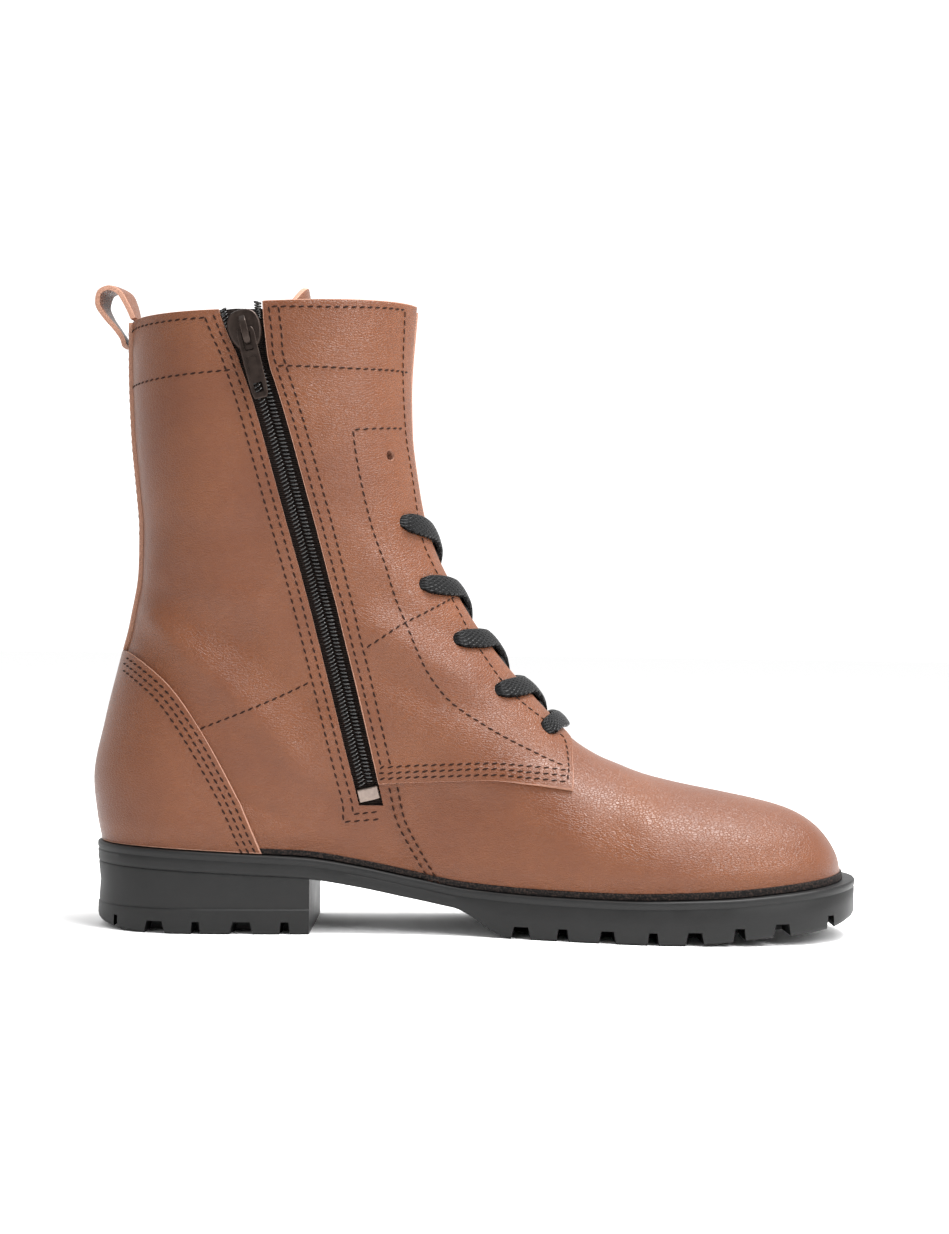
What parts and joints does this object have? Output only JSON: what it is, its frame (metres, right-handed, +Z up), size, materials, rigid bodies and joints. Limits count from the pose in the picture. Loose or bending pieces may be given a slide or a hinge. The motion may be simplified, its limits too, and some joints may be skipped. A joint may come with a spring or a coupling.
{
  "type": "lace up ankle boot",
  "caption": "Left ankle boot in smooth leather with front lacing, a zip on the inner side, a pull loop and a lugged rubber sole with a low heel.",
  "frame": {"origin": "on the ground under the middle of the outsole", "axes": "+X from heel to toe, +Y to the outer side of the left foot, +Z up"},
  "size_m": [0.2779, 0.0936, 0.232],
  "materials": {
    "leather": "smooth waxed brown leather",
    "lining": "plain tan lining leather",
    "sole_rubber": "moulded black rubber",
    "zip_tape": "woven black tape",
    "zip_coil": "black nylon coil",
    "dark_metal": "dark gunmetal",
    "zip_stop": "light warm grey metal",
    "lace": "black waxed flat lace"
  },
  "bodies": {
    "boot": {"upper": "leather", "quarter_inner": "leather", "quarter_outer": "leather", "heel_counter": "leather", "back_strip": "leather", "pull_loop": "leather", "tongue": "leather", "insole": "lining", "welt": "sole_rubber", "outsole": "sole_rubber", "heel_block": "sole_rubber", "heel_top_piece": "sole_rubber", "zip_tape": "zip_tape", "zip_coil": "zip_coil", "zip_slider": "dark_metal", "zip_stop": "zip_stop", "lace_bar": "lace", "lace_cross_1": "lace", "lace_cross_2": "lace", "lace_cross_3": "lace", "lace_cross_4": "lace"},
    "pull_tab": {"zip_pull": "dark_metal"}
  },
  "joints": [
    {"name": "pull_tab_hinge", "type": "hinge", "parent": "boot", "child": "pull_tab", "pos_m": [-0.08106, -0.04033, 0.21211], "axis": [-0.9672, 0.0022, -0.2541], "range_deg": [0, 150]}
  ]
}
